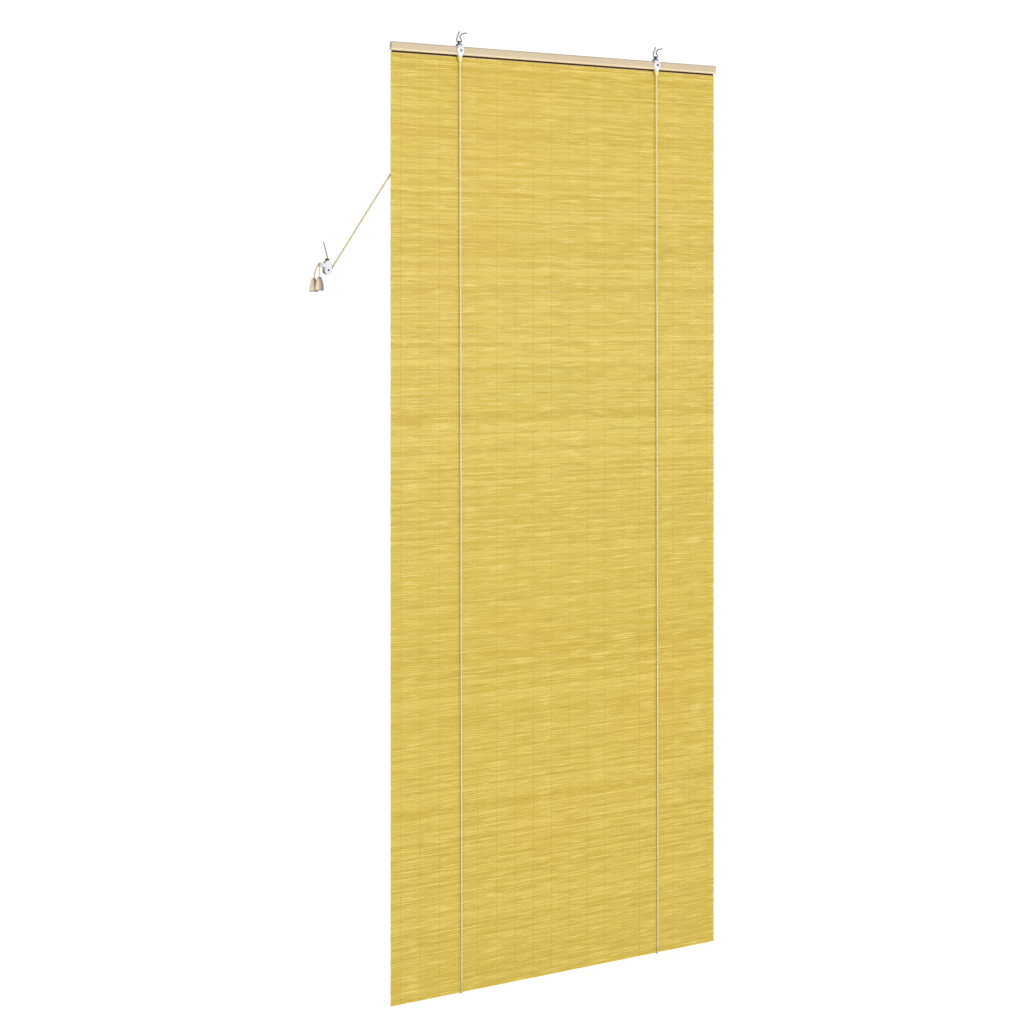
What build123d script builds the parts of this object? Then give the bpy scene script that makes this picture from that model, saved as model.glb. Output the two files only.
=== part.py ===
from build123d import *
import os
from math import tan, radians

# Bamboo roll-up blind: a woven bamboo sheet clamped in a wooden head rail, with two lift cords that
# cradle the sheet. Each cord starts at a stop below the front of the rail, runs down the front of the
# sheet, round its lower edge, up its back to a pulley, and on to the tensioner and the pull bells.
# Frame: millimetres, +X along the rail, front towards -Y, +Z up. The origin is level with the seats of
# the two hanging hooks, over the middle of the rail, in the middle plane of the sheet.

# ---- driving dimensions ----
blind_width = 900.0
blind_drop = 2198.5            # top of the rail to the lower edge of the sheet
hang_height = 24.0             # hook seat above the top of the rail

rail_height = 19.5
rail_front_thickness = 7.0
rail_back_thickness = 4.0
rail_back_inset = 1.0          # the back strip is this much narrower at its top and bottom
rail_rounding = 1.8
sheet_thickness = 1.6
sheet_end_inset = 1.0
clamp_gap = 0.5                # between the sheet's face and each rail strip
tape_thickness = 1.0
tape_show = 4.0                # band of tape that shows below the rail
tape_inset = 3.0

batten_height = 20.0
batten_thickness = 5.0
batten_end_inset = 5.0
batten_lift = 2.0              # batten above the sheet's lower edge
batten_rounding = 1.2
soft_gap = 0.3                 # clearance beside soft and moving pieces

station_left_x = -274.5
station_right_x = 271.5

cheek_thickness = 5.0
cheek_top_radius = 9.3
cheek_foot_radius = 5.6
cheek_rounding = 2.0
cheek_rise = 0.5               # cheek above the top of the rail
cheek_hang = 4.7               # cheek below the foot of the rail
bridge_width = 12.0
bridge_thickness = 2.0
bridge_reach = 2.2             # thickness of the bridge's neck, on the back of the cheek
lip_drop = 3.6
foot_width = 10.0
foot_reach = 5.0               # foot behind the middle of the cord stop
weld = 1.0                     # how far joined blocks of one piece run into each other
beyond = 1.0                   # how far a cutting shape runs past what it cuts

bolt_radius = 2.0
bolt_head_radius = 3.3
bolt_head_height = 1.7
bolt_head_rounding = 0.8
bolt_recess_radius = 1.4
bolt_recess_floor = 0.4        # solid head left behind the recess
bolt_clearance = 0.1
nut_across_flats = 7.0
nut_thickness = 3.2
bolt_end = 1.2                 # bolt past the nut

plate_thickness = 1.5
plate_top_radius = 6.0
plate_low_radius = 11.0
sleeve_radius = 4.0
axle_drop = 46.4               # pulley axle below the foot of the rail
axle_radius = 2.5
axle_head_radius = 4.0
axle_head_height = 1.0
axle_clearance = 0.05

cord_diameter = 3.0
sheave_line_radius = 8.0       # to the middle of the cord
sheave_thickness = 5.2
sheave_rim = 2.5               # rim above the middle of the cord
groove_width = 3.8
side_gap = 0.4                 # between a sheave and what is beside it

stop_top_radius = 5.0
stop_foot_radius = 3.1
stop_height = 11.3
stop_rounding = 0.8
stop_y = -8.5
cord_grip = 4.0                # cord's end inside its stop

swivel_y = -3.0
swivel_flange_radius = 7.8
swivel_flange_height = 3.0
swivel_flange_rounding = 1.0
swivel_pin_radius = 2.0
swivel_tab = (4.0, 9.0, 8.9)   # size along X, Y and Z, with its root inside the flange
swivel_tab_root = 1.2
swivel_tab_rounding = 3.0
swivel_hole_radius = 1.9
swivel_hole_lift = 0.4         # hole's middle above the middle of the hook's wire
swivel_gap = 0.05
hook_eye_lift = 6.5            # middle of the hook's wire above the foot of the flange
hook_wire_diameter = 2.4

tension_foot_radius = 9.0
tension_top_radius = 7.5
tension_height = 15.5          # between the two centres of the body's outline
tension_crown = 9.8            # sheave centre to the solid crown
tension_wall = 2.4
tension_rounding = 1.2
tension_slot_half = 12.0
tension_line_radius = 7.0
tension_rim = 1.6
ferrule_neck_radius = 3.7
ferrule_height = 5.5
ferrule_sunk = 1.2
ferrule_seat_half = 4.0        # half the square seat cut for the ferrule
ferrule_rounding = 0.5
collar_radius = 4.9
collar_height = 2.6
wire_diameter = 2.2
wire_neck = 4.0                # upright start of the wire
wire_rise = 36.5
wire_lean = 8.8
peg_radius = 2.2
peg_reach = 16.0               # peg beside the middle of the wheel
peg_rise = 11.8
ear_radius = 4.0
ear_root_radius = 4.5
ear_root_reach = 5.0
ear_root_drop = 4.0

bell_radius = 9.6
bell_height = 31.0
bell_top_radius = 4.0
bell_bore_radius = 2.0
bell_mouth_radius = 4.4
bell_mouth_depth = 7.8
knot_radius = 3.2

staple_counts = (3, 4, 3)      # left of the stations, between them and right of them
staple_crown = 10.0
staple_wire = 1.0
staple_leg = 2.5
staple_margin = 40.0           # from the rail's end or a station to the nearest staple

# ---- places that follow from them ----
rail_top = -hang_height
rail_foot = rail_top - rail_height
sheet_foot = rail_top - blind_drop
sheet_top = rail_foot - tape_show
face_y = sheet_thickness / 2
rail_front_y = -face_y - clamp_gap - rail_front_thickness
rail_rear_y = face_y + clamp_gap + rail_back_thickness
bolt_z = rail_top - rail_height / 2
plate_y = rail_rear_y + soft_gap
inner_sheave_y = plate_y + plate_thickness + side_gap + sheave_thickness / 2
outer_sheave_y = inner_sheave_y + sheave_thickness + side_gap
outer_plate_y = outer_sheave_y + sheave_thickness / 2 + side_gap
plate_rear_y = outer_plate_y + plate_thickness
axle_z = rail_foot - axle_drop
cheek_y = rail_front_y - soft_gap
bridge_z = rail_top + soft_gap
clip_foot = rail_foot - cheek_hang
swivel_z = bridge_z + bridge_thickness + soft_gap
hook_eye_z = swivel_z + hook_eye_lift
stations = {"left": station_left_x, "right": station_right_x}

# Middle of the tensioner's sheave, found from the line of the pull cords.
tension_x = -600.0
tension_z = -546.3
peg_x = tension_x - peg_reach
peg_z = tension_z + peg_rise
bell_places = {"near": (-623.6, 2.0, -592.0), "far": (-628.0, 24.2, -594.5)}

# ---- routes of the cords, as the corners of their runs ----
front_start_z = clip_foot - stop_height + cord_grip
lift_routes = {
    "left": [
        (-274.5, stop_y, front_start_z),
        (-267.5, -3.6, -2221.8),
        (-267.4, 0.0, -2225.4),
        (-267.2, 5.0, -2225.4),
        (-267.0, 8.6, -2221.8),
        (-266.5, 10.1, -86.3),
        (-271.9, 10.1, -81.5),
        (-279.1, 10.1, -82.4),
        (-281.14, 10.1, -85.43),
    ],
    "right": [
        (271.5, stop_y, front_start_z),
        (278.5, -3.6, -2221.8),
        (278.6, 0.0, -2225.4),
        (278.8, 5.0, -2225.4),
        (279.0, 8.6, -2221.8),
        (279.5, 15.7, -86.6),
        (274.8, 15.7, -81.9),
        (-276.5, 15.7, -81.9),
        (-280.0, 15.7, -83.7),
        (-281.14, 15.7, -85.43),
    ],
}
pull_routes = {
    "near": [
        (-281.14, 10.1, -85.43),
        (-595.7, 10.1, -552.4),
        (-600.9, 10.1, -553.8),
        (-605.7, 10.1, -551.2),
        (-612.9, 10.1, -531.2),
        (-616.8, 10.0, -530.0),
        (-620.0, 9.6, -532.5),
        (-623.6, 2.0, -552.5),
        (-623.6, 2.0, -581.5),
    ],
    "far": [
        (-281.14, 15.7, -85.43),
        (-595.7, 15.7, -552.4),
        (-600.9, 15.7, -553.8),
        (-605.7, 15.7, -551.2),
        (-612.9, 15.7, -531.2),
        (-616.8, 15.8, -530.0),
        (-620.0, 16.2, -532.5),
        (-628.0, 24.2, -555.0),
        (-628.0, 24.2, -584.0),
    ],
}


# ---- helpers ----
def block(x0, x1, y0, y1, z0, z1):
    """A box between two corners."""
    return Pos((x0 + x1) / 2, (y0 + y1) / 2, (z0 + z1) / 2) * Box(x1 - x0, y1 - y0, z1 - z0)


def rod_y(x, z, radius, y0, y1):
    """A round rod along Y."""
    return Pos(x, (y0 + y1) / 2, z) * Rot(90, 0, 0) * Cylinder(radius, y1 - y0)


def tapered_plate(x, y0, y1, z_top, radius_top, z_low, radius_low, x_low=None):
    """A plate square to Y whose outline is two circles and their outer tangents."""
    x_low = x if x_low is None else x_low
    face = Plane(origin=(0, y0, 0), x_dir=(1, 0, 0), z_dir=(0, -1, 0))
    upper = Pos(x, z_top) * Circle(radius_top)
    lower = Pos(x_low, z_low) * Circle(radius_low)
    outline = make_hull((upper + lower).edges())
    return extrude(face * outline, -(y1 - y0))


def bend_radii(points):
    """The radius at each corner of a route: 0.45 of the shorter run, over the tangent of half the turn."""
    spots = [Vector(*p) for p in points]
    radii = []
    for before, corner, after in zip(spots, spots[1:], spots[2:]):
        run_in = corner - before
        run_out = after - corner
        shorter = min(run_in.length, run_out.length)
        radii.append(0.45 * shorter / tan(radians(run_in.get_angle(run_out) / 2)))
    return radii


def tube(name, points, diameter):
    """A round tube along straight runs joined by tangent arcs."""
    radii = bend_radii(points)
    path = FilletPolyline(*points, radius=radii)
    section = Plane(origin=path @ 0, z_dir=path % 0) * Circle(diameter / 2)
    solid = sweep(section, path=path)
    share = solid.volume / (section.area * path.length)
    bends = [round(r, 1) for r in radii]
    print(f"{name}: length {path.length:.1f}, volume share {share:.4f}, radii {bends}")
    return solid


def grooved_wheel(x, z, line_radius, rim, thickness, middle_y, groove_places):
    """A pulley wheel on an axle along Y, with one groove for each cord."""
    rim_radius = line_radius + rim
    wheel = rod_y(x, z, rim_radius, middle_y - thickness / 2, middle_y + thickness / 2)
    groove_floor = line_radius - cord_diameter / 2 - soft_gap
    for y in groove_places:
        y0, y1 = y - groove_width / 2, y + groove_width / 2
        wheel -= rod_y(x, z, rim_radius + beyond, y0, y1) - rod_y(x, z, groove_floor, y0, y1)
    return wheel - rod_y(x, z, axle_radius + axle_clearance, middle_y - thickness, middle_y + thickness)


def bolt_hole(x, y0, y1):
    """The clearance hole for a rail bolt, cut through what lies between two depths."""
    return rod_y(x, bolt_z, bolt_radius + bolt_clearance, y0 - beyond, y1 + beyond)


def axle_hole(x, y0, y1):
    """The clearance hole for a pulley axle, cut through what lies between two depths."""
    return rod_y(x, axle_z, axle_radius + axle_clearance, y0 - beyond, y1 + beyond)


# ---- head rail ----
def rail_front():
    rail = block(-blind_width / 2, blind_width / 2, rail_front_y, -face_y - clamp_gap, rail_foot, rail_top)
    front_edges = rail.edges().filter_by(Axis.X).group_by(Axis.Y)[0]
    rail = fillet(front_edges, rail_rounding)
    for x in stations.values():
        rail -= bolt_hole(x, rail_front_y, -face_y)
    return rail


def rail_back():
    half = blind_width / 2 - rail_back_inset
    low, high = rail_foot + rail_back_inset, rail_top - rail_back_inset
    strip = block(-half, half, face_y + clamp_gap, rail_rear_y, low, high)
    for x in stations.values():
        strip -= bolt_hole(x, face_y, rail_rear_y)
    return strip


def top_tape():
    half = blind_width / 2 - tape_inset
    tape = block(-half, half, -tape_thickness / 2, tape_thickness / 2, sheet_top, rail_top - tape_inset)
    for x in stations.values():
        tape -= bolt_hole(x, -tape_thickness / 2, tape_thickness / 2)
    return tape


def rail_staples():
    """Staples with their crowns flat on the back strip and their legs in it, clear of both stations."""
    half = staple_crown / 2
    low, high = bolt_z - staple_wire / 2, bolt_z + staple_wire / 2
    ends = [-blind_width / 2, station_left_x, station_right_x, blind_width / 2]
    joined = []
    for start, end, count in zip(ends, ends[1:], staple_counts):
        first = start + staple_margin
        step = (end - start - 2 * staple_margin) / (count - 1)
        for i in range(count):
            x = first + i * step
            staple = block(x - half, x + half, rail_rear_y, rail_rear_y + staple_wire, low, high)
            for inner, outer in ((-half, staple_wire - half), (half - staple_wire, half)):
                staple += block(x + inner, x + outer, rail_rear_y - staple_leg, rail_rear_y, low, high)
            joined.append(staple)
    return Compound(children=joined)


# ---- sheet and its batten ----
def woven_sheet():
    half = blind_width / 2 - sheet_end_inset
    return block(-half, half, -face_y, face_y, sheet_foot, sheet_top - soft_gap)


def bottom_batten():
    half = blind_width / 2 - batten_end_inset
    near = face_y + soft_gap
    low = sheet_foot + batten_lift
    batten = block(-half, half, near, near + batten_thickness, low, low + batten_height)
    return fillet(batten.edges().filter_by(Axis.X).group_by(Axis.Y)[-1], batten_rounding)


# ---- what stands at each of the two stations ----
def clip(x):
    """An egg-shaped cheek in front of the rail, a bridge over it, a lip behind and a foot below."""
    top_z = rail_top + cheek_rise - cheek_top_radius
    foot_z = clip_foot + cheek_foot_radius
    front_y = cheek_y - cheek_thickness
    body = tapered_plate(x, front_y, cheek_y, top_z, cheek_top_radius, foot_z, cheek_foot_radius)
    body = fillet(body.edges().group_by(Axis.Y)[0], cheek_rounding)
    half = bridge_width / 2
    rear_y = plate_y + plate_thickness
    lip_y = rail_rear_y + soft_gap
    neck_y = cheek_y - bridge_reach
    body += block(x - half, x + half, neck_y, rear_y, bridge_z, bridge_z + bridge_thickness)
    body += block(x - half, x + half, neck_y, cheek_y, rail_top - lip_drop, bridge_z + weld)
    body += block(x - half, x + half, lip_y, rear_y, rail_top - lip_drop, bridge_z + weld)
    foot_half = foot_width / 2
    foot_high = rail_foot - soft_gap
    body += block(x - foot_half, x + foot_half, cheek_y - weld, stop_y + foot_reach, clip_foot, foot_high)
    body -= bolt_hole(x, front_y, cheek_y)
    seat = Pos(x, swivel_y, bridge_z + bridge_thickness / 2)
    return body - seat * Cylinder(swivel_pin_radius + swivel_gap, 2 * bridge_thickness)


def cord_stop(x):
    """A tapered bead under the clip's foot, pressed on the end of the lift cord."""
    cone = Cone(stop_foot_radius, stop_top_radius, stop_height)
    cone = Pos(x, stop_y, clip_foot - stop_height / 2) * cone
    return fillet(cone.edges().filter_by(GeomType.CIRCLE), stop_rounding)


def swivel(x):
    """A round flange on a pin that turns in the bridge, with an eye on top for the hook."""
    flange = Cylinder(swivel_flange_radius, swivel_flange_height)
    flange = fillet(flange.edges().group_by(Axis.Z)[-1], swivel_flange_rounding)
    body = Pos(x, swivel_y, swivel_z + swivel_flange_height / 2) * flange
    body += Pos(x, swivel_y, (bridge_z + swivel_z) / 2) * Cylinder(swivel_pin_radius, swivel_z - bridge_z)
    wide, deep, tall = swivel_tab
    low = swivel_z + swivel_flange_height - swivel_tab_root
    tab = block(x - wide / 2, x + wide / 2, swivel_y - deep / 2, swivel_y + deep / 2, low, low + tall)
    tab = fillet(tab.edges().filter_by(Axis.X).group_by(Axis.Z)[-1], swivel_tab_rounding)
    hole = Pos(x, swivel_y, hook_eye_z + swivel_hole_lift) * Rot(0, 90, 0)
    return body + tab - hole * Cylinder(swivel_hole_radius, wide + 2 * beyond)


def hook(name, x):
    """One bent wire: a U through the swivel's eye, a short leg and a long arm that spread at the top."""
    bends = [
        (1.0, 26.2), (-2.9, 18.9), (-7.0, 6.3), (-4.2, 0.0), (4.2, 0.0),
        (7.3, 5.4), (0.6, 13.9), (7.5, 21.2), (20.4, 24.1),
    ]
    points = [(x + dx, swivel_y, hook_eye_z + dz) for dx, dz in bends]
    return tube(name, points, hook_wire_diameter)


def axle_bolt(x):
    """A bolt with a round head, through the clip, the rail and the pulley block."""
    front_y = cheek_y - cheek_thickness
    head_y = front_y - bolt_head_height
    end_y = plate_rear_y + nut_thickness + bolt_end
    head = rod_y(x, bolt_z, bolt_head_radius, head_y, front_y)
    head = fillet(head.edges().group_by(Axis.Y)[0], bolt_head_rounding)
    recess = rod_y(x, bolt_z, bolt_recess_radius, head_y - beyond, front_y - bolt_recess_floor)
    return rod_y(x, bolt_z, bolt_radius, front_y, end_y) + head - recess


def bolt_nut(x):
    face = Plane(origin=(x, plate_rear_y, bolt_z), x_dir=(1, 0, 0), z_dir=(0, 1, 0))
    hexagon = RegularPolygon(nut_across_flats / 2, 6, major_radius=False)
    nut = extrude(face * hexagon, nut_thickness)
    return nut - bolt_hole(x, plate_rear_y, plate_rear_y + nut_thickness)


def hanger_plate(x, y0):
    y1 = y0 + plate_thickness
    plate = tapered_plate(x, y0, y1, bolt_z, plate_top_radius, axle_z, plate_low_radius)
    return plate - bolt_hole(x, y0, y1) - axle_hole(x, y0, y1)


def bolt_sleeve(x):
    y0, y1 = plate_y + plate_thickness, outer_plate_y
    return rod_y(x, bolt_z, sleeve_radius, y0, y1) - bolt_hole(x, y0, y1)


def wheel_axle(x):
    y0, y1 = plate_y, plate_rear_y
    axle = rod_y(x, axle_z, axle_radius, y0, y1)
    axle += rod_y(x, axle_z, axle_head_radius, y0 - axle_head_height, y0)
    return axle + rod_y(x, axle_z, axle_head_radius, y1, y1 + axle_head_height)


def axle_spacer(x):
    y0 = plate_y + plate_thickness
    y1 = outer_sheave_y - sheave_thickness / 2 - side_gap
    return rod_y(x, axle_z, sleeve_radius, y0, y1) - axle_hole(x, y0, y1)


def lift_wheel(x, y):
    return grooved_wheel(x, axle_z, sheave_line_radius, sheave_rim, sheave_thickness, y, [y])


# ---- tensioner on the pull cords ----
wheel_y0 = inner_sheave_y - sheave_thickness / 2
wheel_y1 = outer_sheave_y + sheave_thickness / 2
tension_y0 = wheel_y0 - side_gap - tension_wall
tension_y1 = wheel_y1 + side_gap + tension_wall
tension_y = (tension_y0 + tension_y1) / 2
body_foot_z = tension_z - 0.7
body_top_z = body_foot_z + tension_height
ferrule_low = body_top_z + tension_top_radius
ferrule_foot = ferrule_low - ferrule_sunk


def tension_body():
    """The housing: an egg-shaped block, slotted from below for the wheel, with two ears for the peg."""
    body = tapered_plate(
        tension_x, tension_y0, tension_y1, body_top_z, tension_top_radius, body_foot_z, tension_foot_radius
    )
    depths = body.edges().group_by(Axis.Y)
    body = fillet(depths[0] + depths[-1], tension_rounding)
    root_x = tension_x - ear_root_reach
    root_z = body_top_z - ear_root_drop
    for y in (tension_y0, tension_y1 - tension_wall):
        body += tapered_plate(root_x, y, y + tension_wall, root_z, ear_root_radius, peg_z, ear_radius, peg_x)
    slot_x = (tension_x - tension_slot_half, tension_x + tension_slot_half)
    slot_y = (tension_y0 + tension_wall, tension_y1 - tension_wall)
    body -= block(*slot_x, *slot_y, body_foot_z - tension_foot_radius - beyond, tension_z + tension_crown)
    body -= rod_y(tension_x, tension_z, axle_radius, tension_y0 - beyond, tension_y1 + beyond)
    body -= rod_y(peg_x, peg_z, peg_radius, tension_y0 - beyond, tension_y1 + beyond)
    seat_x = (tension_x - ferrule_seat_half, tension_x + ferrule_seat_half)
    seat_y = (tension_y - ferrule_seat_half, tension_y + ferrule_seat_half)
    return body - block(*seat_x, *seat_y, ferrule_foot, ferrule_low + 2 * beyond)


def tension_wheel():
    places = [inner_sheave_y, outer_sheave_y]
    thickness = wheel_y1 - wheel_y0
    return grooved_wheel(tension_x, tension_z, tension_line_radius, tension_rim, thickness, tension_y, places)


def tension_ferrule():
    neck = Pos(tension_x, tension_y, ferrule_foot + ferrule_height / 2)
    neck = neck * Cylinder(ferrule_neck_radius, ferrule_height)
    neck = fillet(neck.edges().group_by(Axis.Z)[-1], ferrule_rounding)
    collar = Pos(tension_x, tension_y, ferrule_low + soft_gap + collar_height / 2)
    return neck + collar * Cylinder(collar_radius, collar_height)


def tension_wire():
    low = ferrule_foot + ferrule_height
    points = [
        (tension_x, tension_y, low),
        (tension_x, tension_y, low + wire_neck),
        (tension_x - wire_lean, tension_y, low + wire_rise),
    ]
    return tube("tension_wire", points, wire_diameter)


# ---- bells ----
def bell(place):
    """A turned bell, wider at its foot, with a bore for the cord and a mouth for the knot."""
    x, y, low = place
    foot = [(0.0, 0.0), (bell_radius - 0.6, 0.0), (bell_radius, 1.2), (bell_radius, 5.0)]
    side = [
        (bell_radius, 5.0), (bell_radius - 0.8, 13.0), (bell_top_radius + 3.2, 21.0),
        (bell_top_radius + 1.4, bell_height - 4.0), (bell_top_radius + 0.2, bell_height - 1.2),
        (bell_top_radius - 1.0, bell_height),
    ]
    crown = [side[-1], (0.0, bell_height), (0.0, 0.0)]
    edges = [*Polyline(*foot).edges(), *Spline(*side).edges(), *Polyline(*crown).edges()]
    turned = revolve(Plane.XZ * make_face(edges), Axis.Z)
    turned -= Pos(0, 0, bell_height / 2) * Cylinder(bell_bore_radius, bell_height + 2 * beyond)
    turned -= Pos(0, 0, bell_mouth_depth / 2) * Cylinder(bell_mouth_radius, bell_mouth_depth)
    return Pos(x, y, low) * turned


def cord_knot(place):
    x, y, low = place
    return Pos(x, y, low + bell_mouth_depth - soft_gap - knot_radius) * Sphere(knot_radius)


def all_pieces():
    made = {
        "rail_front": rail_front(),
        "rail_back": rail_back(),
        "top_tape": top_tape(),
        "rail_staples": rail_staples(),
        "woven_sheet": woven_sheet(),
        "bottom_batten": bottom_batten(),
        "tension_body": tension_body(),
        "tension_sheave": tension_wheel(),
        "tension_axle": rod_y(tension_x, tension_z, axle_radius, tension_y0, tension_y1),
        "tension_peg": rod_y(peg_x, peg_z, peg_radius, tension_y0, tension_y1),
        "tension_ferrule": tension_ferrule(),
        "tension_wire": tension_wire(),
        "sheave_left_inner": lift_wheel(station_left_x, inner_sheave_y),
        "sheave_left_outer": lift_wheel(station_left_x, outer_sheave_y),
        "sheave_right": lift_wheel(station_right_x, outer_sheave_y),
        "axle_spacer_right": axle_spacer(station_right_x),
    }
    for side, x in stations.items():
        made[f"clip_{side}"] = clip(x)
        made[f"cord_stop_{side}"] = cord_stop(x)
        made[f"swivel_{side}"] = swivel(x)
        made[f"hook_{side}"] = hook(f"hook_{side}", x)
        made[f"rail_bolt_{side}"] = axle_bolt(x)
        made[f"bolt_nut_{side}"] = bolt_nut(x)
        made[f"bolt_sleeve_{side}"] = bolt_sleeve(x)
        made[f"hanger_plate_{side}_inner"] = hanger_plate(x, plate_y)
        made[f"hanger_plate_{side}_outer"] = hanger_plate(x, outer_plate_y)
        made[f"wheel_axle_{side}"] = wheel_axle(x)
        made[f"lift_cord_{side}"] = tube(f"lift_cord_{side}", lift_routes[side], cord_diameter)
    for name, place in bell_places.items():
        made[f"pull_cord_{name}"] = tube(f"pull_cord_{name}", pull_routes[name], cord_diameter)
        made[f"bell_{name}"] = bell(place)
        made[f"cord_knot_{name}"] = cord_knot(place)
    return made


os.makedirs("parts", exist_ok=True)
for node, solid in all_pieces().items():
    export_step(solid, f"parts/{node}.step")
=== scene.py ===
import math

import bpy
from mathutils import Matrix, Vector


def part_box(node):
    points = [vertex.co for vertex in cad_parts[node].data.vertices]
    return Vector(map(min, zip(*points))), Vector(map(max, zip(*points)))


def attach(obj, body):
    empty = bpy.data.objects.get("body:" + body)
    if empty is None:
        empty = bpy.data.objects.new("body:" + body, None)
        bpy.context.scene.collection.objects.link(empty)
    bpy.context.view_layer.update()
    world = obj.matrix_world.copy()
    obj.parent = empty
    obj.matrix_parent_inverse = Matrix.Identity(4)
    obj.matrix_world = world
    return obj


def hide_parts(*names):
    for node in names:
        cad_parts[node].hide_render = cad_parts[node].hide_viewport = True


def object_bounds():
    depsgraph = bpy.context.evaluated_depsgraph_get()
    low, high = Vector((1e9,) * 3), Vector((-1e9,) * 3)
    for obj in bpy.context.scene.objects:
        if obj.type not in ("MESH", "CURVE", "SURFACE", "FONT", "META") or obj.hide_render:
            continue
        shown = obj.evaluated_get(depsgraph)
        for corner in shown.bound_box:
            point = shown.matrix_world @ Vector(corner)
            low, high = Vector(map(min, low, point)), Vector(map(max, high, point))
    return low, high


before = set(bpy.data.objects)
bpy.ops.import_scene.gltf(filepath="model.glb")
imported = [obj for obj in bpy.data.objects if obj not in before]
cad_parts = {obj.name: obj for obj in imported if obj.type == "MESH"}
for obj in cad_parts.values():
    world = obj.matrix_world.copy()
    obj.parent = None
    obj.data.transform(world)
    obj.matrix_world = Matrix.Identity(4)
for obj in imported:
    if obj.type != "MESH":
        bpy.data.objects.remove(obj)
cad_low, cad_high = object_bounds()
scene = bpy.context.scene
scene.view_settings.view_transform = "Standard"


# ---- Camera ----
# The eye stands to the left of the blind, a little below its rail, and looks along the level. The lens
# is shifted down, so that upright edges stay upright while the whole drop is in view.
camera_lens = bpy.data.cameras.new("camera")
camera_lens.lens = 65.32
camera_lens.sensor_width = 36.0
camera_lens.shift_y = -0.2007
camera = bpy.data.objects.new("camera", camera_lens)
camera.location = (-2.2755, -3.8275, -0.6275)
camera.rotation_euler = (math.pi / 2, 0.0, math.radians(-29.25))
scene.collection.objects.link(camera)
scene.camera = camera


# ---- Lift cords and pull cords ----
# Twisted cotton cord, 3 mm. Each lift cord starts in its stop, runs down the front of the slats, round
# their foot, up the back and over its pulley. From there it is a pull cord, which goes round the
# tensioner's wheel, over its peg and down into a wooden bell.
def tone(red, green, blue):
    """A shader colour from a colour in the 0 to 255 scale that paint charts give."""
    parts = [value / 255 for value in (red, green, blue)]
    return [p / 12.92 if p <= 0.04045 else ((p + 0.055) / 1.055) ** 2.4 for p in parts] + [1.0]


def new_finish(name, roughness, **sockets):
    """A material, its node tree and its surface shader, whose even settings are on its own sockets."""
    finish = bpy.data.materials.new(name)
    finish.use_nodes = True
    tree = finish.node_tree
    surface = tree.nodes["Principled BSDF"]
    surface.inputs["Roughness"].default_value = roughness
    for socket, value in sockets.items():
        surface.inputs[socket.replace("_", " ")].default_value = value
    return finish, tree, surface


def add(tree, kind, values=None, **settings):
    """A node with its settings and the values of its inputs, by name or number."""
    node = tree.nodes.new(kind)
    for setting, value in settings.items():
        setattr(node, setting, value)
    for socket, value in (values or {}).items():
        node.inputs[socket].default_value = value
    return node


def blend_tones(tree, amount, *stops):
    """A colour ramp over an amount from 0 to 1. Each stop is a place and a colour."""
    ramp = add(tree, "ShaderNodeValToRGB")
    points = ramp.color_ramp.elements
    for _ in range(len(stops) - 2):
        points.new(0.5)
    for point, (place, colour) in zip(points, stops):
        point.position = place
        point.color = colour
    tree.links.new(amount, ramp.inputs["Fac"])
    return ramp.outputs["Color"]


def math_on(tree, operation, first, second=None):
    """The result of a sum on sockets or plain numbers."""
    node = add(tree, "ShaderNodeMath", operation=operation)
    for socket, value in zip(node.inputs, (first, second)):
        if value is None:
            continue
        if isinstance(value, (int, float)):
            socket.default_value = value
        else:
            tree.links.new(value, socket)
    return node.outputs[0]


def past(tree, amount, edge, gain, most=1.0):
    """How far an amount is past an edge, times the gain, kept between 0 and the most."""
    over = math_on(tree, "MULTIPLY", math_on(tree, "SUBTRACT", amount, edge), gain)
    return math_on(tree, "MAXIMUM", math_on(tree, "MINIMUM", over, most), 0.0)


def speckle(tree, scale, detail):
    """Even noise on the piece's own coordinates, with this many spots in a metre."""
    place = add(tree, "ShaderNodeTexCoord")
    noise = add(tree, "ShaderNodeTexNoise", {"Scale": scale, "Detail": detail})
    tree.links.new(place.outputs["Object"], noise.inputs["Vector"])
    return noise.outputs["Fac"]


def raise_surface(tree, surface, height, distance, strength=1.0):
    """Gives a surface relief that is this deep, in metres."""
    bump = add(tree, "ShaderNodeBump", {"Strength": strength, "Distance": distance})
    tree.links.new(height, bump.inputs["Height"])
    tree.links.new(bump.outputs["Normal"], surface.inputs["Normal"])


cord_diameter = 0.003
twist_pitch = 0.009
strands = 3


def cord_finish(name, length):
    """Cream cotton in three strands that wind round the cord, with painted shade in the grooves between the
    strands, so that they look paler on their crowns.
    """
    finish, tree, surface = new_finish(name, 0.85, Sheen_Weight=0.3, Sheen_Roughness=0.5)
    place = add(tree, "ShaderNodeUVMap")
    split = add(tree, "ShaderNodeSeparateXYZ")
    tree.links.new(place.outputs["UV"], split.inputs[0])
    along = math_on(tree, "MULTIPLY", split.outputs["X"], length / twist_pitch * strands)
    around = math_on(tree, "MULTIPLY", split.outputs["Y"], float(strands))
    phase = math_on(tree, "MULTIPLY", math_on(tree, "ADD", along, around), math.pi)
    crown = math_on(tree, "ABSOLUTE", math_on(tree, "SINE", phase))
    # The darker tone away from the crowns is painted shade in the grooves between the strands.
    colour = blend_tones(tree, crown, (0.0, tone(172, 162, 124)), (0.6, tone(226, 216, 176)))
    tree.links.new(colour, surface.inputs["Base Color"])
    raise_surface(tree, surface, crown, 0.0004)
    return finish


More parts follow.
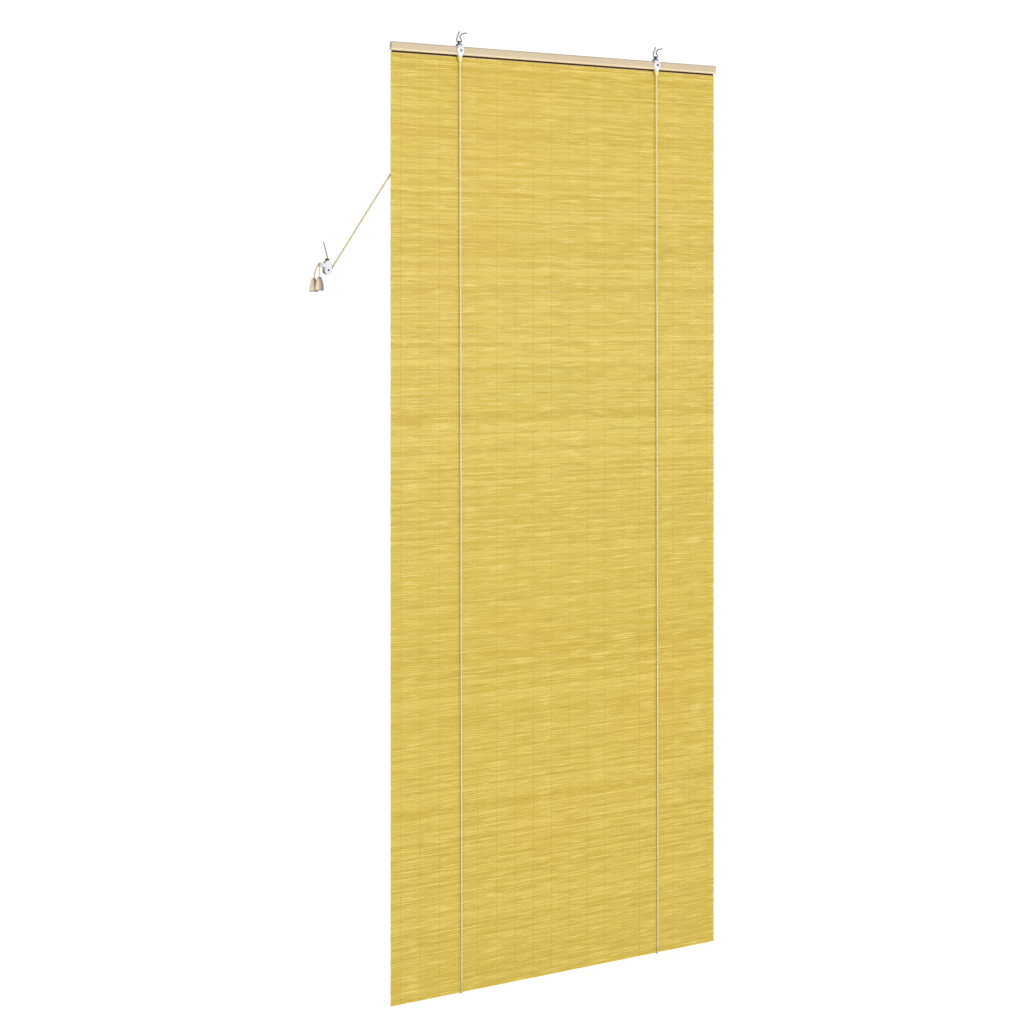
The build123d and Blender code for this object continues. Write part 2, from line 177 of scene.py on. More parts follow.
def lay_cord(name, node, route, length):
    """A cord on its route's points, given in metres, in place of its CAD tube."""
    line = bpy.data.curves.new(name, "CURVE")
    line.dimensions = "3D"
    run = line.splines.new("NURBS")
    run.points.add(len(route) - 1)
    for point, place in zip(run.points, route):
        point.co = (*place, 1.0)
    run.order_u = 3
    run.use_endpoint_u = True
    run.resolution_u = 10
    line.bevel_depth = cord_diameter / 2
    line.bevel_resolution = 2
    line.use_fill_caps = True
    line.materials.append(cord_finish(name + "_cotton", length))
    cord = bpy.data.objects.new(name, line)
    scene.collection.objects.link(cord)
    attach(cord, "blind")
    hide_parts(node)
    return cord


left_lift = [
    (-0.2745, -0.0085, -0.0555),
    (-0.26756, -0.00364, -2.2038),
    (-0.2675, -0.0036, -2.2218),
    (-0.2674, 0.0, -2.2254),
    (-0.2672, 0.005, -2.2254),
    (-0.267, 0.0086, -2.2218),
    (-0.267, 0.00861, -2.2038),
    (-0.2665, 0.01009, -0.1043),
    (-0.2665, 0.0101, -0.0863),
    (-0.2719, 0.0101, -0.0815),
    (-0.2791, 0.0101, -0.0824),
    (-0.28114, 0.0101, -0.08543),
]
right_lift = [
    (0.2715, -0.0085, -0.0555),
    (0.27844, -0.00364, -2.2038),
    (0.2785, -0.0036, -2.2218),
    (0.2786, 0.0, -2.2254),
    (0.2788, 0.005, -2.2254),
    (0.279, 0.0086, -2.2218),
    (0.279, 0.00866, -2.2038),
    (0.2795, 0.01564, -0.1046),
    (0.2795, 0.0157, -0.0866),
    (0.2748, 0.0157, -0.0819),
    (0.2568, 0.0157, -0.0819),
    (-0.2585, 0.0157, -0.0819),
    (-0.2765, 0.0157, -0.0819),
    (-0.28, 0.0157, -0.0837),
    (-0.28114, 0.0157, -0.08543),
]
near_pull = [
    (-0.28114, 0.0101, -0.08543),
    (-0.58564, 0.0101, -0.53747),
    (-0.5957, 0.0101, -0.5524),
    (-0.6009, 0.0101, -0.5538),
    (-0.6057, 0.0101, -0.5512),
    (-0.6129, 0.0101, -0.5312),
    (-0.6168, 0.01, -0.53),
    (-0.62, 0.0096, -0.5325),
    (-0.6236, 0.002, -0.5525),
    (-0.6236, 0.002, -0.5815),
]
far_pull = [
    (-0.28114, 0.0157, -0.08543),
    (-0.58564, 0.0157, -0.53747),
    (-0.5957, 0.0157, -0.5524),
    (-0.6009, 0.0157, -0.5538),
    (-0.6057, 0.0157, -0.5512),
    (-0.6129, 0.0157, -0.5312),
    (-0.6168, 0.0158, -0.53),
    (-0.62, 0.0162, -0.5325),
    (-0.628, 0.0242, -0.555),
    (-0.628, 0.0242, -0.584),
]


# ---- Knots in the bells ----
# The same cord, tied in an overhand knot in each bell's mouth, so that the bell can't slip off. The
# knots are pulled tight, and their cotton is a little fluffier than the cord's.
def tie_knot(name, node, strand_radius):
    """An overhand knot, pulled tight into the ball that the CAD model has."""
    low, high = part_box(node)
    middle = (low + high) / 2
    ball = (high - low).x / 2
    steps = 60
    line = bpy.data.curves.new(name, "CURVE")
    line.dimensions = "3D"
    loop = line.splines.new("POLY")
    loop.points.add(steps - 1)
    for step, point in enumerate(loop.points):
        turn = 2 * math.pi * step / steps
        place = Vector((
            math.sin(turn) + 2 * math.sin(2 * turn),
            math.cos(turn) - 2 * math.cos(2 * turn),
            -1.6 * math.sin(3 * turn),
        ))
        point.co = (*(middle + place * (ball - strand_radius) / 3), 1.0)
    loop.use_cyclic_u = True
    line.bevel_depth = strand_radius
    line.bevel_resolution = 2
    tied = bpy.data.objects.new(name + "_line", line)
    scene.collection.objects.link(tied)
    knot = bpy.data.objects.new(name, bpy.data.meshes.new_from_object(tied))
    bpy.data.objects.remove(tied)
    scene.collection.objects.link(knot)
    for face in knot.data.polygons:
        face.use_smooth = True
    knot.data.materials.clear()
    knot.data.materials.append(knot_cotton)
    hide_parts(node)
    return knot


knot_cotton, tree, surface = new_finish("knot_cotton", 0.88, Sheen_Weight=0.3)
fluff = speckle(tree, 1400.0, 3.0)
colour = blend_tones(tree, fluff, (0.35, tone(184, 172, 132)), (0.65, tone(228, 217, 178)))
tree.links.new(colour, surface.inputs["Base Color"])
raise_surface(tree, surface, fluff, 0.0003)

knot_strand_radius = 0.0013
near_knot = tie_knot("near_knot", "cord_knot_near", knot_strand_radius)
far_knot = tie_knot("far_knot", "cord_knot_far", knot_strand_radius)
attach(near_knot, "blind")
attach(far_knot, "blind")

lay_cord("left_lift_cord", "lift_cord_left", left_lift, 4.333)
lay_cord("right_lift_cord", "lift_cord_right", right_lift, 4.879)
lay_cord("near_pull_cord", "pull_cord_near", near_pull, 0.652)
lay_cord("far_pull_cord", "pull_cord_far", far_pull, 0.656)


# ---- Woven bamboo sheet ----
# About 400 split bamboo slats, each as wide as the sheet, a little over 5 mm tall and 1.4 mm thick. The
# slats are straw yellow and vary in tone. They lie one below another, as close as the weaving lets them.
sheet_low, sheet_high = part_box("woven_sheet")
sheet_width = sheet_high.x - sheet_low.x
sheet_drop = sheet_high.z - sheet_low.z
usual_pitch = 0.0054
slat_count = round(sheet_drop / usual_pitch)
slat_pitch = sheet_drop / slat_count
slat_gap = 0.0001
thread_room = 0.0001  # in front of the slats, and behind them
slat_thickness = sheet_high.y - sheet_low.y - 2 * thread_room
slat_edge_radius = 0.0004
smallest_slat = (0.9985, 0.9, 0.985)  # length, thickness and height, as shares of a full slat
slat_stretches = 13
slat_wander = 0.0003  # from front to back, along a slat
slat_seed = 4


def new_rule(name, sizes):
    """A Geometry Nodes tree with a named input for each size, and its group nodes."""
    rule = bpy.data.node_groups.new(name, "GeometryNodeTree")
    rule.interface.new_socket("Geometry", in_out="INPUT", socket_type="NodeSocketGeometry")
    for size, kind in sizes.items():
        rule.interface.new_socket(size, in_out="INPUT", socket_type=kind)
    rule.interface.new_socket("Geometry", in_out="OUTPUT", socket_type="NodeSocketGeometry")
    return rule, rule.nodes.new("NodeGroupInput"), rule.nodes.new("NodeGroupOutput")


def make_by_rule(name, rule, values):
    """A plain mesh made by a tree from the values of its inputs. The modifier is gone afterwards."""
    carrier = bpy.data.objects.new(name + "_carrier", bpy.data.meshes.new(name + "_carrier"))
    scene.collection.objects.link(carrier)
    modifier = carrier.modifiers.new(name, "NODES")
    modifier.node_group = rule
    for socket in rule.interface.items_tree:
        if socket.in_out == "INPUT" and socket.name in values:
            modifier[socket.identifier] = values[socket.name]
    graph = bpy.context.evaluated_depsgraph_get()
    mesh = bpy.data.meshes.new_from_object(carrier.evaluated_get(graph))
    bpy.data.objects.remove(carrier)
    made = bpy.data.objects.new(name, mesh)
    scene.collection.objects.link(made)
    return made


bamboo, tree, surface = new_finish("bamboo", 0.6, Specular_IOR_Level=0.3)
slat_tone = add(tree, "ShaderNodeAttribute", attribute_name="slat_tone")
place = add(tree, "ShaderNodeTexCoord")
offset = add(tree, "ShaderNodeCombineXYZ")
tree.links.new(math_on(tree, "MULTIPLY", slat_tone.outputs["Fac"], 37.0), offset.inputs["X"])
along_slat = add(tree, "ShaderNodeVectorMath", operation="ADD")
tree.links.new(place.outputs["Object"], along_slat.inputs[0])
tree.links.new(offset.outputs[0], along_slat.inputs[1])


def streaks(tree, place, size, detail):
    """Noise drawn out along the grain. The size is how many patches there are in a metre each way."""
    stretch = add(tree, "ShaderNodeMapping", {"Scale": size})
    tree.links.new(place, stretch.inputs["Vector"])
    noise = add(tree, "ShaderNodeTexNoise", {"Scale": 1.0, "Detail": detail, "Roughness": 0.55})
    tree.links.new(stretch.outputs[0], noise.inputs["Vector"])
    return noise.outputs["Fac"]


fibre = streaks(tree, along_slat.outputs[0], (18.0, 900.0, 700.0), 3.0)
patch = streaks(tree, along_slat.outputs[0], (15.0, 60.0, 180.0), 3.0)
cluster = streaks(tree, place.outputs["Object"], (14.0, 60.0, 250.0), 3.0)
field = streaks(tree, place.outputs["Object"], (2.2, 2.0, 3.0), 3.0)
straw = blend_tones(
    tree, slat_tone.outputs["Fac"], (0.0, tone(187, 160, 58)), (0.35, tone(192, 167, 66)),
    (0.7, tone(196, 171, 72)), (1.0, tone(202, 178, 82)),
)


def stain(tree, below, amount, colour):
    """Lays a colour over what is below it, as strongly as the amount says."""
    mix = add(tree, "ShaderNodeMix", {7: colour}, data_type="RGBA")
    tree.links.new(amount, mix.inputs["Factor"])
    tree.links.new(below, mix.inputs[6])
    return mix.outputs[2]


pale = past(tree, cluster, 0.51, 4.25, 0.85)
dark = past(tree, patch, 0.47, -3.0, 0.6)
ripe = past(tree, field, 0.52, 0.7)
green = past(tree, field, 0.45, -0.9)
colour = stain(tree, straw, pale, tone(220, 198, 112))
colour = stain(tree, colour, dark, tone(168, 138, 44))
colour = stain(tree, colour, ripe, tone(206, 156, 60))
colour = stain(tree, colour, green, tone(166, 166, 56))
tree.links.new(colour, surface.inputs["Base Color"])
raise_surface(tree, surface, fibre, 0.00015)

rule, given, result = new_rule("bamboo_slats", {
    "Slats": "NodeSocketInt", "Pitch": "NodeSocketFloat", "Width": "NodeSocketFloat",
    "Height": "NodeSocketFloat", "Thickness": "NodeSocketFloat", "Top": "NodeSocketFloat",
    "Finish": "NodeSocketMaterial", "Seed": "NodeSocketInt",
})
wire = rule.links.new


def field_math(operation, first, second=None):
    """The same sum as math_on, in the Geometry Nodes tree that is being written."""
    return math_on(rule, operation, first, second)


half_width = field_math("MULTIPLY", given.outputs["Width"], 0.5)
left_end = add(rule, "ShaderNodeCombineXYZ")
right_end = add(rule, "ShaderNodeCombineXYZ")
wire(field_math("MULTIPLY", half_width, -1.0), left_end.inputs["X"])
wire(half_width, right_end.inputs["X"])
length_line = add(rule, "GeometryNodeCurvePrimitiveLine")
wire(left_end.outputs[0], length_line.inputs["Start"])
wire(right_end.outputs[0], length_line.inputs["End"])
stretches = add(rule, "GeometryNodeResampleCurve", {"Count": slat_stretches})
wire(length_line.outputs[0], stretches.inputs["Curve"])
section = add(rule, "GeometryNodeCurvePrimitiveQuadrilateral")
wire(given.outputs["Thickness"], section.inputs["Width"])
wire(given.outputs["Height"], section.inputs["Height"])
rounded = add(rule, "GeometryNodeFilletCurve", {"Radius": slat_edge_radius}, mode="POLY")
rounded.inputs["Count"].default_value = 2
wire(section.outputs[0], rounded.inputs["Curve"])
slat = add(rule, "GeometryNodeCurveToMesh", {"Fill Caps": True})
wire(stretches.outputs[0], slat.inputs["Curve"])
wire(rounded.outputs[0], slat.inputs["Profile Curve"])

first = add(rule, "ShaderNodeCombineXYZ")
half_pitch = field_math("MULTIPLY", given.outputs["Pitch"], 0.5)
wire(field_math("SUBTRACT", given.outputs["Top"], half_pitch), first.inputs["Z"])
step = add(rule, "ShaderNodeCombineXYZ")
wire(field_math("MULTIPLY", given.outputs["Pitch"], -1.0), step.inputs["Z"])
stack = add(rule, "GeometryNodeMeshLine")
wire(given.outputs["Slats"], stack.inputs["Count"])
wire(first.outputs[0], stack.inputs["Start Location"])
wire(step.outputs[0], stack.inputs["Offset"])
size_of = add(rule, "FunctionNodeRandomValue", data_type="FLOAT_VECTOR")
size_of.inputs["Min"].default_value = smallest_slat
size_of.inputs["Max"].default_value = (1.0, 1.0, 1.0)
wire(given.outputs["Seed"], size_of.inputs["Seed"])
placed = add(rule, "GeometryNodeInstanceOnPoints")
wire(stack.outputs["Mesh"], placed.inputs["Points"])
wire(slat.outputs["Mesh"], placed.inputs["Instance"])
wire(size_of.outputs["Value"], placed.inputs["Scale"])
tone_of = add(rule, "FunctionNodeRandomValue", data_type="FLOAT")
wire(field_math("ADD", given.outputs["Seed"], 5), tone_of.inputs["Seed"])
tone_value = next(out for out in tone_of.outputs if out.enabled)
keep_tone = add(
    rule, "GeometryNodeStoreNamedAttribute", {"Name": "slat_tone"}, data_type="FLOAT", domain="INSTANCE",
)
wire(placed.outputs["Instances"], keep_tone.inputs["Geometry"])
wire(tone_value, keep_tone.inputs["Value"])
solid_slats = add(rule, "GeometryNodeRealizeInstances")
wire(keep_tone.outputs["Geometry"], solid_slats.inputs["Geometry"])
where = add(rule, "GeometryNodeInputPosition")
lengthen = add(rule, "ShaderNodeVectorMath", {1: (5.0, 0.0, 90.0)}, operation="MULTIPLY")
wire(where.outputs[0], lengthen.inputs[0])
waver = add(rule, "ShaderNodeTexNoise", {"Scale": 1.0, "Detail": 1.0})
wire(lengthen.outputs[0], waver.inputs["Vector"])
sway = add(rule, "ShaderNodeCombineXYZ")
wire(field_math("MULTIPLY", field_math("SUBTRACT", waver.outputs["Fac"], 0.5), slat_wander), sway.inputs["Y"])
uneven = add(rule, "GeometryNodeSetPosition")
wire(solid_slats.outputs[0], uneven.inputs["Geometry"])
wire(sway.outputs[0], uneven.inputs["Offset"])
smooth = add(rule, "GeometryNodeSetShadeSmooth")
wire(uneven.outputs[0], smooth.inputs["Geometry"])
painted = add(rule, "GeometryNodeSetMaterial")
wire(smooth.outputs[0], painted.inputs["Geometry"])
wire(given.outputs["Finish"], painted.inputs["Material"])
wire(painted.outputs[0], result.inputs[0])

slats = make_by_rule("bamboo_slats", rule, {
    "Slats": slat_count, "Pitch": slat_pitch, "Width": sheet_width, "Height": slat_pitch - slat_gap,
    "Thickness": slat_thickness, "Top": sheet_high.z, "Finish": bamboo, "Seed": slat_seed,
})
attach(slats, "blind")
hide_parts("woven_sheet")


# ---- Warp threads ----
# Pairs of thin cotton threads, every 50 mm, hold the slats together. At each slat one thread of a pair
# goes in front and the other behind, and they change sides in the gap.
thread_spacing = 0.05
thread_first = 0.025
thread_radius = 0.00032

warp_cotton, tree, surface = new_finish("warp_cotton", 0.9, Sheen_Weight=0.2)
fluff = speckle(tree, 900.0, 2.0)
colour = blend_tones(tree, fluff, (0.3, tone(176, 142, 66)), (0.7, tone(202, 168, 88)))
tree.links.new(colour, surface.inputs["Base Color"])
raise_surface(tree, surface, fluff, 0.0001)

rule, given, result = new_rule("warp_threads", {
    "Threads": "NodeSocketInt", "Spacing": "NodeSocketFloat", "First": "NodeSocketFloat",
    "Slats": "NodeSocketInt", "Pitch": "NodeSocketFloat", "Top": "NodeSocketFloat",
    "Bulge": "NodeSocketFloat", "Radius": "NodeSocketFloat", "Side": "NodeSocketInt",
    "Finish": "NodeSocketMaterial",
})
wire = rule.links.new
half_pitch = field_math("MULTIPLY", given.outputs["Pitch"], 0.5)
over_start = add(rule, "ShaderNodeCombineXYZ")
over_top = add(rule, "ShaderNodeCombineXYZ")
over_end = add(rule, "ShaderNodeCombineXYZ")
wire(half_pitch, over_start.inputs["Z"])
wire(field_math("MULTIPLY", given.outputs["Bulge"], -2.0), over_top.inputs["Y"])
wire(field_math("MULTIPLY", half_pitch, -1.0), over_end.inputs["Z"])
arch = add(rule, "GeometryNodeCurveQuadraticBezier", {"Resolution": 4})
wire(over_start.outputs[0], arch.inputs["Start"])
wire(over_top.outputs[0], arch.inputs["Middle"])
wire(over_end.outputs[0], arch.inputs["End"])
round_section = add(rule, "GeometryNodeCurvePrimitiveCircle", {"Resolution": 3})
wire(given.outputs["Radius"], round_section.inputs["Radius"])
stitch = add(rule, "GeometryNodeCurveToMesh", {"Fill Caps": True})
wire(arch.outputs[0], stitch.inputs["Curve"])
wire(round_section.outputs[0], stitch.inputs["Profile Curve"])

grid_count = field_math("MULTIPLY", given.outputs["Threads"], given.outputs["Slats"])
points = add(rule, "GeometryNodePoints")
wire(grid_count, points.inputs["Count"])
number = add(rule, "GeometryNodeInputIndex")
row = field_math("FLOOR", field_math("DIVIDE", number.outputs[0], given.outputs["Threads"]))
column = field_math("SUBTRACT", number.outputs[0], field_math("MULTIPLY", row, given.outputs["Threads"]))
spot = add(rule, "ShaderNodeCombineXYZ")
along = field_math("MULTIPLY", column, given.outputs["Spacing"])
wire(field_math("ADD", given.outputs["First"], along), spot.inputs["X"])
down = field_math("MULTIPLY", field_math("ADD", row, 0.5), given.outputs["Pitch"])
wire(field_math("SUBTRACT", given.outputs["Top"], down), spot.inputs["Z"])
wire(spot.outputs[0], points.inputs["Position"])
turned = field_math("MODULO", field_math("ADD", row, given.outputs["Side"]), 2.0)
turn = add(rule, "ShaderNodeCombineXYZ")
wire(field_math("MULTIPLY", turned, math.pi), turn.inputs["Z"])
woven = add(rule, "GeometryNodeInstanceOnPoints")
wire(points.outputs[0], woven.inputs["Points"])
wire(stitch.outputs[0], woven.inputs["Instance"])
wire(turn.outputs[0], woven.inputs["Rotation"])
solid_threads = add(rule, "GeometryNodeRealizeInstances")
wire(woven.outputs[0], solid_threads.inputs["Geometry"])
painted = add(rule, "GeometryNodeSetMaterial")
wire(solid_threads.outputs[0], painted.inputs["Geometry"])
wire(given.outputs["Finish"], painted.inputs["Material"])
wire(painted.outputs[0], result.inputs[0])

for side, name in enumerate(("warp_threads_even", "warp_threads_odd")):
    threads = make_by_rule(name, rule, {
        "Threads": math.floor((sheet_width - thread_first) / thread_spacing) + 1,
        "Spacing": thread_spacing, "First": sheet_low.x + thread_first, "Slats": slat_count,
        "Pitch": slat_pitch, "Top": sheet_high.z, "Bulge": slat_thickness / 2 + thread_radius,
        "Radius": thread_radius, "Side": side, "Finish": warp_cotton,
    })
    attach(threads, "blind")


# ---- Top tape, painted shadow under the rail ----
# A dark brown ribbed tape over the top of the slats, clamped with them in the rail. Its dark brown is painted
# shadow: the narrow band of it that shows below the rail stands in for the shade that the rail casts on the
# slats.
tape_low, tape_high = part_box("top_tape")
rib_pitch = 0.002
rib_depth = 0.00025
rows = 8

painted_shadow_tape, tree, surface = new_finish("painted_shadow_tape", 0.9, Specular_IOR_Level=0.15)
place = add(tree, "ShaderNodeTexCoord")
stretch = add(tree, "ShaderNodeMapping", {"Scale": (900.0, 900.0, 1600.0)})
tree.links.new(place.outputs["Object"], stretch.inputs["Vector"])
weave = add(tree, "ShaderNodeTexNoise", {"Scale": 1.0, "Detail": 2.0})
tree.links.new(stretch.outputs[0], weave.inputs["Vector"])
# Painted shadow: the tape's dark brown stands in for the shade under the rail.
colour = blend_tones(tree, weave.outputs["Fac"], (0.3, tone(44, 24, 3)), (0.7, tone(72, 46, 8)))
tree.links.new(colour, surface.inputs["Base Color"])
raise_surface(tree, surface, weave.outputs["Fac"], 0.0001)

columns = round((tape_high.x - tape_low.x) / rib_pitch) * 2
tape_corners = []
for front in (True, False):
    for across in range(columns + 1):
        x = tape_low.x + (tape_high.x - tape_low.x) * across / columns
        depth = rib_depth if across % 2 else 0.0
        y = tape_low.y + depth if front else tape_high.y - depth
        for up in range(rows + 1):
            z = tape_low.z + (tape_high.z - tape_low.z) * up / rows
            tape_corners.append((x, y, z))
tape_faces = []
layer = (columns + 1) * (rows + 1)
for across in range(columns):
    for up in range(rows):
        a = across * (rows + 1) + up
        b, c, d = a + rows + 1, a + rows + 2, a + 1
        tape_faces.append((a, b, c, d))
        tape_faces.append((layer + d, layer + c, layer + b, layer + a))
    low, high = across * (rows + 1), across * (rows + 1) + rows
    tape_faces.append((low, layer + low, layer + low + rows + 1, low + rows + 1))
    tape_faces.append((high, high + rows + 1, layer + high + rows + 1, layer + high))
for up in range(rows):
    last = columns * (rows + 1) + up
    tape_faces.append((up, up + 1, layer + up + 1, layer + up))
    tape_faces.append((last, layer + last, layer + last + 1, last + 1))
tape_mesh = bpy.data.meshes.new("brown_tape")
tape_mesh.from_pydata(tape_corners, [], tape_faces)
tape_mesh.materials.append(painted_shadow_tape)
tape = bpy.data.objects.new("brown_tape", tape_mesh)
scene.collection.objects.link(tape)
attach(tape, "blind")
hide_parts("top_tape")


# ---- Head rail and bottom batten ----
# Planed pale wood, sanded and left bare. The rail is a front strip and a thinner back strip, bolted and
# stapled together over the tape. The batten lies behind the foot of the slats and weighs them down.
def paint(finish, *nodes):
    """Gives CAD nodes a finish."""
    for node in nodes:
        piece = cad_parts[node]
        piece.data.materials.clear()
        piece.data.materials.append(finish)


def pale_wood(name, node, painted_top_tone, middle_tone, painted_foot_tone):
    """Wood with its grain along the strip. The bands along its top and foot, at the heights of this node, get
    their own tones, which are painted light and shade.
    """
    low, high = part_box(node)
    finish, tree, surface = new_finish(name, 0.6, Coat_Weight=0.05)
    place = add(tree, "ShaderNodeTexCoord")
    grain = streaks(tree, place.outputs["Object"], (7.0, 260.0, 420.0), 4.0)
    pores = streaks(tree, place.outputs["Object"], (60.0, 1500.0, 1800.0), 2.0)
    split = add(tree, "ShaderNodeSeparateXYZ")
    tree.links.new(place.outputs["Object"], split.inputs[0])
    height = math_on(tree, "DIVIDE", math_on(tree, "SUBTRACT", split.outputs["Z"], low.z), high.z - low.z)
    wobble = math_on(tree, "MULTIPLY", math_on(tree, "SUBTRACT", grain, 0.5), 0.12)
    height = math_on(tree, "ADD", height, wobble)
    # The top and foot bands are painted light and shade, laid on by height.
    base = blend_tones(
        tree, height, (0.0, painted_foot_tone), (0.16, painted_foot_tone), (0.26, middle_tone), (0.8, middle_tone),
        (0.93, painted_top_tone),
    )
    colour = stain(tree, base, past(tree, grain, 0.5, 1.5), tone(172, 146, 108))
    colour = stain(tree, colour, past(tree, pores, 0.58, 2.0), tone(140, 112, 78))
    tree.links.new(colour, surface.inputs["Base Color"])
    raise_surface(tree, surface, grain, 0.0003, 0.6)
    return finish


# On the rail the darker top band is painted shade and the paler foot band is a painted highlight.
rail_wood = pale_wood(
    "rail_wood", "rail_front", tone(170, 156, 130), tone(190, 174, 144), tone(214, 196, 164),
)
# On the batten the top and foot bands are a little darker than the middle.
batten_wood = pale_wood(
    "batten_wood", "bottom_batten", tone(186, 168, 134), tone(198, 180, 146), tone(190, 172, 138),
)
paint(rail_wood, "rail_front", "rail_back")
paint(batten_wood, "bottom_batten")


# ---- Clips, stops, pulley blocks and hooks ----
# Two white nylon clips are bolted over the rail, each with a steel swivel and a bent wire hook on top,
# and a cream stop below that holds the end of its lift cord. The bolts also carry the pulley blocks.
def moulded(name, colour, roughness, **sockets):
    """Moulded plastic with the faint ripple of its mould."""
    finish, tree, surface = new_finish(name, roughness, **sockets)
    ripple = speckle(tree, 160.0, 2.0)
    darker = [part * 0.93 for part in colour[:3]] + [1.0]
    shade = blend_tones(tree, ripple, (0.3, darker), (0.7, colour))
    tree.links.new(shade, surface.inputs["Base Color"])
    raise_surface(tree, surface, ripple, 0.0001, 0.5)
    return finish


def brushed(name, colour, roughness, scale):
    """Metal with fine scratches and patches that are duller."""
    finish, tree, surface = new_finish(name, roughness, Metallic=1.0)
    scratch = speckle(tree, scale, 4.0)
    darker = [part * 0.72 for part in colour[:3]] + [1.0]
    shade = blend_tones(tree, scratch, (0.35, darker), (0.65, colour))
    tree.links.new(shade, surface.inputs["Base Color"])
    dull = add(tree, "ShaderNodeMapRange", {"To Min": roughness * 0.8, "To Max": roughness * 1.3})
    tree.links.new(scratch, dull.inputs["Value"])
    tree.links.new(dull.outputs["Result"], surface.inputs["Roughness"])
    raise_surface(tree, surface, scratch, 0.00005, 0.4)
    return finish


white_nylon = moulded("white_nylon", tone(220, 221, 226), 0.3, Coat_Weight=0.3, Coat_Roughness=0.1)
grey_nylon = moulded("grey_nylon", tone(150, 150, 148), 0.4)
cream_nylon = moulded("cream_nylon", tone(232, 214, 160), 0.4)
bright_steel = brushed("bright_steel", tone(150, 151, 154), 0.3, 900.0)
wire_steel = brushed("wire_steel", tone(100, 101, 108), 0.4, 900.0)
cap_steel = brushed("cap_steel", tone(112, 117, 130), 0.4, 700.0)
dark_steel = brushed("dark_steel", tone(62, 63, 66), 0.42, 700.0)
olive_bronze = brushed("olive_bronze", tone(86, 82, 40), 0.42, 700.0)
for side in ("left", "right"):
    paint(white_nylon, f"clip_{side}")
    paint(cream_nylon, f"cord_stop_{side}")
    paint(cap_steel, f"swivel_{side}")
    paint(wire_steel, f"hook_{side}")
    paint(bright_steel, f"rail_bolt_{side}", f"bolt_nut_{side}", f"bolt_sleeve_{side}")
    paint(bright_steel, f"hanger_plate_{side}_inner", f"hanger_plate_{side}_outer", f"wheel_axle_{side}")
paint(grey_nylon, "sheave_left_inner", "sheave_left_outer", "sheave_right", "axle_spacer_right")
paint(dark_steel, "rail_staples")


# ---- Tensioner ----
# A white nylon housing with a grooved wheel inside and a peg between its two ears, which both pull cords
# pass over. Its bronze-coloured ferrule is pressed on a steel wire that goes up to the wall.
housing_nylon = moulded("housing_nylon", tone(202, 202, 208), 0.3, Coat_Weight=0.3, Coat_Roughness=0.1)
paint(housing_nylon, "tension_body")
paint(moulded("slate_nylon", tone(84, 82, 78), 0.4), "tension_sheave")
paint(olive_bronze, "tension_ferrule")
paint(wire_steel, "tension_wire")
paint(dark_steel, "tension_axle")
paint(bright_steel, "tension_peg")
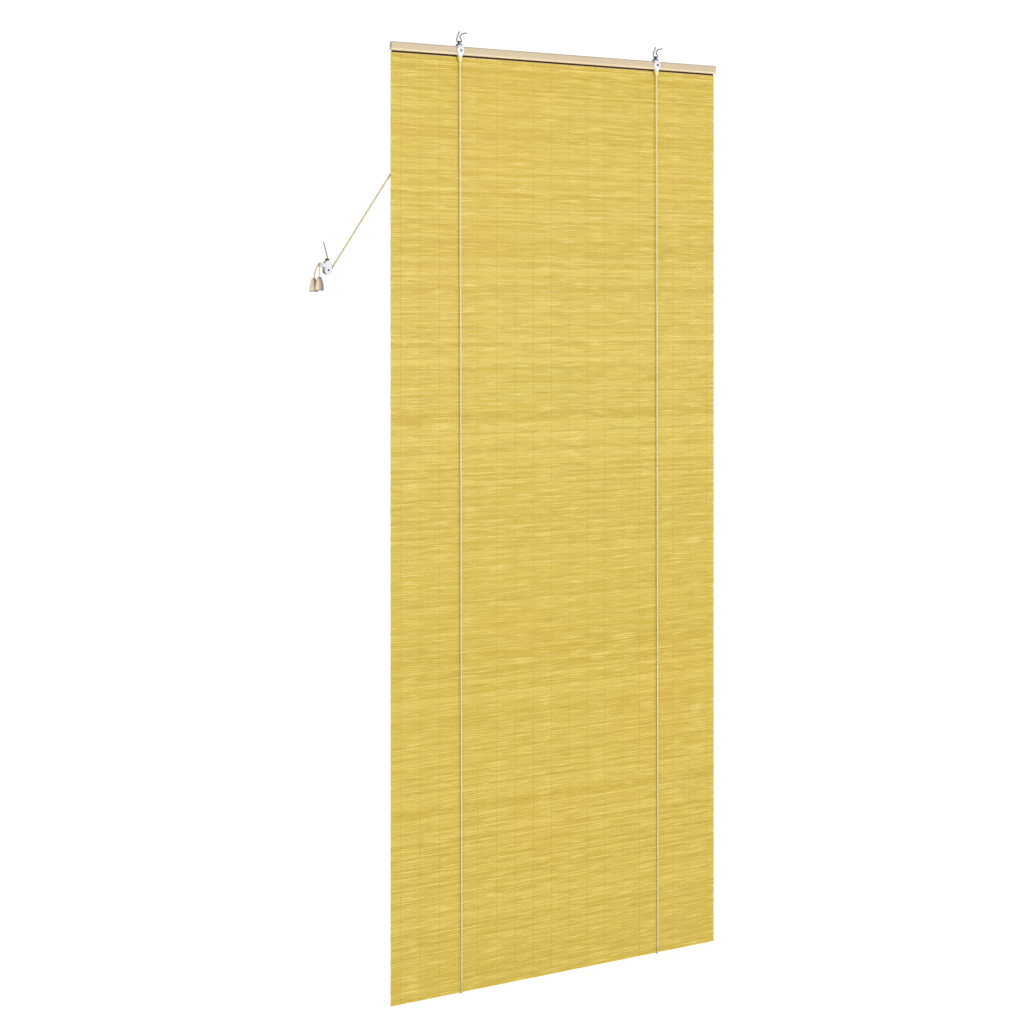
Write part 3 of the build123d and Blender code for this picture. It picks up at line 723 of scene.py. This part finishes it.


# ---- Bells ----
# Turned from one pale wood and waxed, with a bore for the cord and a wider mouth that hides its knot.
# The grain runs upright. The right side of each bell is painted mauve-brown shade, and its foot is painted
# darker shade.
def turned_wood(node, shade_edge):
    """Cream wood that turns to mauve-brown painted shade on the bell's right side, from this share of the
    bell's width on, with painted shade along its foot.
    """
    corners = [corner.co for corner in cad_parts[node].data.vertices]
    left, right = min(corner.x for corner in corners), max(corner.x for corner in corners)
    foot, head = min(corner.z for corner in corners), max(corner.z for corner in corners)
    finish, tree, surface = new_finish(node + "_wood", 0.45, Coat_Weight=0.15, Coat_Roughness=0.3)
    place = add(tree, "ShaderNodeTexCoord")
    upright = streaks(tree, place.outputs["Object"], (330.0, 330.0, 26.0), 3.0)
    split = add(tree, "ShaderNodeSeparateXYZ")
    tree.links.new(place.outputs["Object"], split.inputs[0])
    across = math_on(tree, "DIVIDE", math_on(tree, "SUBTRACT", split.outputs["X"], left), right - left)
    waver = math_on(tree, "MULTIPLY", math_on(tree, "SUBTRACT", upright, 0.5), 0.25)
    across = math_on(tree, "ADD", across, waver)
    height = math_on(tree, "DIVIDE", math_on(tree, "SUBTRACT", split.outputs["Z"], foot), head - foot)
    # Painted shade: the mauve-brown across the right side of the bell stands in for its shaded side.
    wood = blend_tones(
        tree, across, (0.0, tone(228, 214, 184)), (shade_edge - 0.12, tone(226, 206, 172)),
        (shade_edge + 0.1, tone(150, 124, 112)), (1.0, tone(112, 92, 88)),
    )
    # Painted shade: the bottom of each bell is darkened to a deep brown.
    wood = stain(tree, wood, past(tree, height, 0.09, -12.0, 0.75), tone(74, 54, 40))
    wood = stain(tree, wood, past(tree, upright, 0.5, 1.6), tone(176, 146, 108))
    tree.links.new(wood, surface.inputs["Base Color"])
    raise_surface(tree, surface, upright, 0.0002, 0.6)
    return finish


paint(turned_wood("bell_near", 0.3), "bell_near")
paint(turned_wood("bell_far", 0.42), "bell_far")


# ---- Floor and light ----
# A plain white floor below the hanging blind, an even white room, and two soft lamps: the key stands in
# front and the fill to the left.
floor_mesh = bpy.data.meshes.new("floor")
reach = 30.0
floor_height = cad_low.z - 0.5
corners = [(-reach, -reach), (reach, -reach), (reach, reach), (-reach, reach)]
floor_mesh.from_pydata([(x, y, floor_height) for x, y in corners], [], [(0, 1, 2, 3)])
floor_white, tree, surface = new_finish("floor_white", 0.9)
surface.inputs["Base Color"].default_value = (0.9, 0.9, 0.9, 1.0)
surface.inputs["Emission Color"].default_value = (1.0, 1.0, 1.0, 1.0)
surface.inputs["Emission Strength"].default_value = 0.6
floor_mesh.materials.append(floor_white)
floor = bpy.data.objects.new("floor", floor_mesh)
scene.collection.objects.link(floor)

room = bpy.data.worlds.new("room")
scene.world = room
room.use_nodes = True
white = room.node_tree.nodes["Background"]
white.inputs["Color"].default_value = (1.0, 1.0, 1.0, 1.0)
seen = add(room.node_tree, "ShaderNodeLightPath")
room_light = add(room.node_tree, "ShaderNodeMapRange", {"To Min": 0.5, "To Max": 1.05})
room.node_tree.links.new(seen.outputs["Is Camera Ray"], room_light.inputs["Value"])
room.node_tree.links.new(room_light.outputs["Result"], white.inputs["Strength"])


def hang_lamp(name, place, target, size, power):
    """A square soft lamp that faces a point."""
    lamp = bpy.data.lights.new(name, "AREA")
    lamp.size = size
    lamp.energy = power
    held = bpy.data.objects.new(name, lamp)
    held.location = place
    held.rotation_euler = (Vector(target) - Vector(place)).to_track_quat("-Z", "Y").to_euler()
    scene.collection.objects.link(held)


middle = (0.0, 0.0, -1.1)
hang_lamp("key_lamp", (0.6, -5.5, 0.6), middle, 1.2, 150.0)
hang_lamp("fill_lamp", (-4.5, -3.0, 0.4), middle, 2.5, 45.0)
